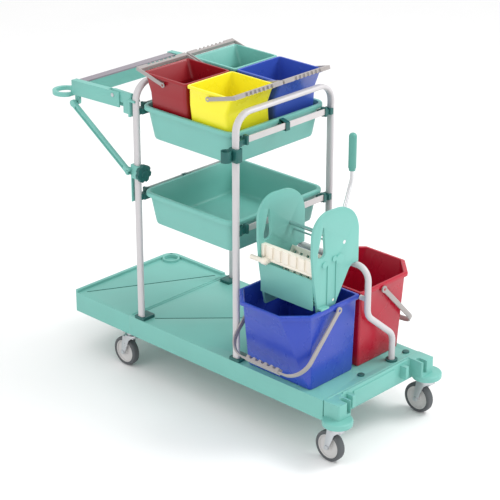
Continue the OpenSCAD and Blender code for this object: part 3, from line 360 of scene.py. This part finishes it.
def rounded_ring(corners, radius, z, steps=7):
    """Points round a convex outline at height z, each corner turned in an arc."""
    ring = []
    n = len(corners)
    for i in range(n):
        here = Vector(corners[i])
        to_last = (Vector(corners[i - 1]) - here).normalized()
        to_next = (Vector(corners[(i + 1) % n]) - here).normalized()
        turn = math.pi - to_last.angle(to_next)
        reach = radius * math.tan(turn / 2)
        centre = here + (to_last + to_next).normalized() * (radius / math.cos(turn / 2))
        first, last = here + to_last * reach - centre, here + to_next * reach - centre
        sweep = first.angle_signed(last)
        for k in range(steps + 1):
            a = -sweep * k / steps
            spoke = Matrix.Rotation(a, 2) @ first
            ring.append((centre.x + spoke.x, centre.y + spoke.y, z))
    return ring


def oblong(x, y, l, w):
    """Corners of a rectangle centred on x, y."""
    return [(x - l / 2, y - w / 2), (x + l / 2, y - w / 2), (x + l / 2, y + w / 2),
            (x - l / 2, y + w / 2)]


def skin(shape, rings):
    """Skins a stack of equal rings and closes its first and last ring."""
    rows = [[shape.verts.new(p) for p in ring] for ring in rings]
    count = len(rows[0])
    for low, high in zip(rows, rows[1:]):
        for k in range(count):
            n = (k + 1) % count
            shape.faces.new((low[k], low[n], high[n], high[k]))
    shape.faces.new(rows[0])
    shape.faces.new(rows[-1])


for name, top in TRAY_TOPS.items():
    floor_z = top - TRAY_H
    body_l, body_w = TRAY_L - 2 * TRAY_RIM, TRAY_W - 2 * TRAY_RIM
    rings = []

    def level(inset, radius, height):
        share = max(0.0, 1.0 - height / TRAY_H) * TRAY_DRAFT
        rings.append(rounded_ring(oblong(TRAY_X, 0.0, body_l - 2 * (inset + share),
                                         body_w - 2 * (inset + share)), radius, floor_z + height))

    # outside, from under the floor up to the rolled rim
    for inset, radius, height in [(9, 24, 0), (4, 27, 0.8), (1.2, 29, 3), (0, 30, 8), (0, 30, 60),
                                  (0, 30, 94), (-1.5, 31, 96.5)]:
        level(inset, radius, height)
    for grow, height in [(6.5, 97), (8.5, 96.2), (9.6, 96.6), (10, 98), (10, 105.5), (9.2, 108.2),
                         (7.2, 109.7), (5, 110), (0, 110), (-1.6, 109.3)]:
        rings.append(rounded_ring(oblong(TRAY_X, 0.0, body_l + 2 * grow, body_w + 2 * grow),
                                  30 + grow * 0.8, floor_z + height))
    # inside, down to the floor and its fillet
    for inset, radius, height in [(TRAY_WALL, 27, 106), (TRAY_WALL, 27, 60), (TRAY_WALL, 27, 12),
                                  (TRAY_WALL + 1.2, 26, 7), (TRAY_WALL + 4, 24, 4),
                                  (TRAY_WALL + 9, 20, TRAY_WALL)]:
        level(inset, radius, height)
    tray = bmesh.new()
    skin(tray, rings)
    piece(f"tray_{name}_tub", tray, TEAL, [f"tray_{name}"], smooth=32.0)

STRIP_GREY = moulded("polypropylene_light_grey_satin", "#CBC6C6", 0.38, cloud=60.0)
piece("tray_end_strips", traced("tray_strips"), STRIP_GREY, ["tray_strips"],
      edge=1.0)
piece("tray_clips", traced("tray_brackets"), DARK_TEAL, ["tray_brackets"],
      edge=1.0)
piece("handle_clip", traced("tool_clip"), DARK_TEAL, ["tool_clip"], edge=1.0)

# ================= bag holder =================
# A moulded frame hinged on two brackets at the left arch. Struts with open hooks stand on collars
# that lobed knobs clamp to the legs; a grey flap pinches the bag's edge along the end beam.
FLAP_GREY = moulded("polypropylene_taupe_grey_satin", "#8E8790", 0.36, cloud=60.0)
for side in ("near", "far"):
    piece(f"hinge_bracket_{side}", traced(f"bag_bracket_{side}"), TEAL,
          [f"bag_bracket_{side}"], edge=1.4)
    piece(f"prop_strut_{side}", traced(f"strut_{side}"), TEAL, [f"strut_{side}"],
          edge=1.6)
    piece(f"leg_collar_{side}", traced(f"collar_{side}"), TEAL,
          [f"collar_{side}"], edge=1.4)
    piece(f"lobed_knob_{side}", traced(f"clamp_knob_{side}"), DARK_TEAL,
          [f"clamp_knob_{side}"], edge=2.0, segments=3)
piece("bag_holder_frame", traced("bag_frame"), TEAL, ["bag_frame"], edge=2.0)
piece("tool_handle_ring", traced("handle_ring"), TEAL, ["handle_ring"], edge=4.5,
      segments=4)
piece("bag_edge_flap", traced("bag_flap"), FLAP_GREY, ["bag_flap"], edge=0.8)
piece("hinge_pin_set", traced("hinge_pins"), ZINC, ["hinge_pins"], edge=0.6)

# ================= small buckets =================
# Four rectangular buckets of glossy coloured polypropylene stand in the upper tray, spout
# outward; each has a flanged rim, side ears and a flat moulded bail resting over its spout.
SMALL_L, SMALL_W, SMALL_H = 191.0, 197.5, 214.0
SMALL_WALL = 2.5
SMALL_RIM = 5.0
SMALL_SPOUT = 24.0
SMALL_WAIST = SMALL_H - 60.0
SMALL_GAP_X, SMALL_GAP_Y = 1.5, 8.5
SMALL_EAR_DROP = 22.0
BAIL_GREY = moulded("polypropylene_warm_grey_satin", "#A19B99", 0.4, cloud=60.0)
SMALL_COLOURS = {"red": (-1, -1, "#93121E"), "yellow": (1, -1, "#F7EC2F"),
                 "green": (-1, 1, "#76B9AF"), "blue": (1, 1, "#3B58B8")}
tray_inside_l = TRAY_L - 2 * (TRAY_RIM + TRAY_DRAFT + TRAY_WALL)
tray_inside_w = TRAY_W - 2 * (TRAY_RIM + TRAY_DRAFT + TRAY_WALL)
foot_l, foot_w = tray_inside_l / 2 - 8, tray_inside_w / 2 - 12
foot_dx = SMALL_L / 2 + SMALL_GAP_X - tray_inside_l / 4
foot_dy = SMALL_W / 2 + SMALL_GAP_Y - tray_inside_w / 4
small_foot_z = TRAY_TOPS["upper"] - TRAY_H + TRAY_WALL + 0.3
for colour, (sx, sy, code) in SMALL_COLOURS.items():
    plastic = moulded(f"polypropylene_{colour}_gloss", code, 0.3, depth=0.03, drift=0.05,
                      cloud=80.0)
    cx = TRAY_X + sx * (SMALL_L / 2 + SMALL_GAP_X)
    cy = sy * (SMALL_W / 2 + SMALL_GAP_Y)
    rings = []

    def wall(inset, radius, height):
        """A ring of the tapered wall, between its foot, its waist under the spout and its rim."""
        top_l, top_w = SMALL_L - 2 * SMALL_RIM, SMALL_W - 2 * SMALL_RIM
        if height < SMALL_WAIST:
            t = height / SMALL_WAIST
            l = foot_l + (top_l - SMALL_SPOUT - foot_l) * t
            w = foot_w + (top_w - foot_w) * t
            x, y = -foot_dx * (1 - t) - SMALL_SPOUT / 2 * t, -foot_dy * (1 - t)
        else:
            t = (height - SMALL_WAIST) / (SMALL_H - SMALL_WAIST)
            l, w = top_l - SMALL_SPOUT * (1 - t), top_w
            x, y = -SMALL_SPOUT / 2 * (1 - t), 0.0
        rings.append(rounded_ring(oblong(cx + sx * x, cy + sy * y, l - 2 * inset, w - 2 * inset),
                                  radius, small_foot_z + height, steps=5))

    for inset, radius, height in [
            (7, 6, 0), (2.5, 10, 0.8), (0, 12, 5), (0, 12, 80), (0, 12, SMALL_WAIST - 0.1),
            (0, 12, SMALL_WAIST + 4), (0, 11, SMALL_H - 12), (-1.4, 12, SMALL_H - 9.4)]:
        wall(inset, radius, height)
    # the flange, as (how far in from the rim's edge, how far below the bucket's top)
    for inset, below in [(1.4, 8.6), (0.5, 9), (0.1, 8), (0, 3), (0.8, 0.8), (2.6, 0), (6.4, 0),
                         (7.3, 1)]:
        rings.append(rounded_ring(oblong(cx, cy, SMALL_L - 2 * inset, SMALL_W - 2 * inset),
                                  12 - inset * 0.4, small_foot_z + SMALL_H - below, steps=5))
    for inset, radius, height in [
            (SMALL_WALL, 9.5, SMALL_H - 6), (SMALL_WALL, 10, SMALL_WAIST + 4),
            (SMALL_WALL, 10, SMALL_WAIST - 0.1), (SMALL_WALL, 10, 80), (SMALL_WALL, 10, 8),
            (SMALL_WALL + 2, 8, 4), (SMALL_WALL + 6, 6, SMALL_WALL)]:
        wall(inset, radius, height)
    bucket = bmesh.new()
    skin(bucket, rings)
    # ears with the stub axles that the bail turns on
    for m in (-1, 1):
        start = (cx, cy + m * (SMALL_W / 2 - SMALL_RIM - 3),
                 small_foot_z + SMALL_H - SMALL_EAR_DROP)
        turned(bucket, [(5.2, 0), (6, m * 0.8), (6, m * 7.2), (5.4, m * 7.9), (3, m * 8),
                        (3, m * 12.6), (2.4, m * 13.2)], start, sides=32)
    piece(f"bucket_{colour}", bucket, plastic,
          [f"small_bucket_{colour}"],
          smooth=32.0)
    piece(f"bucket_bail_{colour}", traced(f"small_bail_{colour}"), BAIL_GREY,
          [f"small_bail_{colour}"], edge=1.2)

# ================= mop buckets =================
# Two large buckets of glossy polypropylene sit side by side at the right end. Each is an
# oblong with two cut-off outer corners that fade out towards the foot, a flanged rim and ears.
MOP_X, MOP_L, MOP_H = 339.5, 292.0, 257.0
MOP_FOOT_Z = 198.3
MOP_RIM = 7.0
MOP_WALL = 3.0
MOP_GAP = 2.0
MOP_OUT = 292.0
# the foot: how far in from the rim's ends, its extra gap at the middle, where its outer side is
MOP_FOOT_IN, MOP_FOOT_GAP, MOP_FOOT_OUT = 15.0, 10.0, 206.0
MOP_CUT_TOP, MOP_CUT_FOOT = 66.0, 6.0
MOP_EAR_Y, MOP_EAR_Z = 105.0, 437.3
for colour, side, code in (("blue", -1, "#2B45B0"), ("red", 1, "#B3102E")):
    plastic = moulded(f"polypropylene_{colour}_glossy", code, 0.27, depth=0.03, drift=0.05,
                      cloud=120.0)

    def mop_ring(inset, rim, radius, height):
        """A ring at a share of the height; rim widens it into the flange."""
        t = min(1.0, height / MOP_H)
        half_l = (MOP_L / 2 - MOP_FOOT_IN) * (1 - t) + (MOP_L / 2 - MOP_RIM) * t - inset + rim
        y_in = (MOP_GAP + MOP_FOOT_GAP) * (1 - t) + (MOP_GAP + MOP_RIM) * t + inset - rim
        y_out = MOP_FOOT_OUT * (1 - t) + (MOP_OUT - MOP_RIM) * t - inset + rim
        cut = MOP_CUT_FOOT * (1 - t) + MOP_CUT_TOP * t
        outline = [(-half_l, y_in), (half_l, y_in), (half_l, y_out - cut), (half_l - cut, y_out),
                   (-half_l + cut, y_out), (-half_l, y_out - cut)]
        outline = [(MOP_X + x, side * y) for x, y in outline]
        if side < 0:
            outline.reverse()
        return rounded_ring(outline, radius, MOP_FOOT_Z + height, steps=4)

    rings = [mop_ring(*row) for row in [
        (6, 0, 4, 0), (2, 0, 6, 0.9), (0, 0, 7, 5), (0, 0, 8, 90), (0, 0, 8, 170), (0, 0, 8, 240),
        (0, 1.6, 8, 243), (0, 5.4, 8, 243.6), (0, 6.6, 8, 243), (0, 7, 8, 244.5), (0, 7, 8, 253.4),
        (0, 6, 8, 256), (0, 4, 8, 257), (0, -1.6, 7, 257), (MOP_WALL, 0, 7, 255.4),
        (MOP_WALL, 0, 7, 250), (MOP_WALL, 0, 7, 170), (MOP_WALL, 0, 7, 90), (MOP_WALL, 0, 7, 9),
        (MOP_WALL + 3, 0, 5, 4.5), (MOP_WALL + 8, 0, 4, MOP_WALL)]]
    bucket = bmesh.new()
    skin(bucket, rings)
    for m in (-1, 1):
        start = (MOP_X + m * (MOP_L / 2 - MOP_RIM - 4), side * MOP_EAR_Y, MOP_EAR_Z)
        turned(bucket, [(8, 0), (9, m * 1), (9, m * 10.6), (8.2, m * 11.5), (4, m * 11.6),
                        (4, m * 18.4), (3.2, m * 19)], start, axis="X", sides=40)
    piece(f"mop_bucket_{colour}_tub", bucket, plastic,
          [f"mop_bucket_{colour}"],
          smooth=30.0)
    piece(f"mop_bucket_bail_{colour}", traced(f"mop_bail_{colour}"), BAIL_GREY,
          [f"mop_bail_{colour}"], edge=1.2)

# ================= wringer =================
# The wringer hangs on the blue bucket's end rims: two round-topped plates of teal
# polypropylene joined by panels, ivory jaws between them, and a chromed lever with a grip.
IVORY = moulded("polyamide_ivory_matt", "#F0E9DB", 0.5, cloud=50.0)
CHROME = metal("steel_chromed_polished", "#DCDDDF", 1.0, 0.14, orange_peel=6.0, depth=0.01)
GRIP = moulded("polypropylene_sea_green_satin", "#559A8F", 0.4, cloud=40.0)
piece("wringer_housing", traced("wringer_body"), TEAL, ["wringer_body"], edge=1.8,
      segments=3)
piece("wringer_cross_rods", traced("wringer_rods"), CHROME, ["wringer_rods"])
piece("wringer_front_jaw", traced("front_jaw"), IVORY, ["front_jaw"], edge=1.5)
piece("wringer_press_jaw", traced("press_jaw"), IVORY, ["press_jaw"], edge=1.2)
piece("wringer_lever_bar", traced("wringer_lever"), CHROME, ["wringer_lever"])
piece("wringer_lever_grip", traced("lever_grip"), GRIP, ["lever_grip"], edge=1.5)
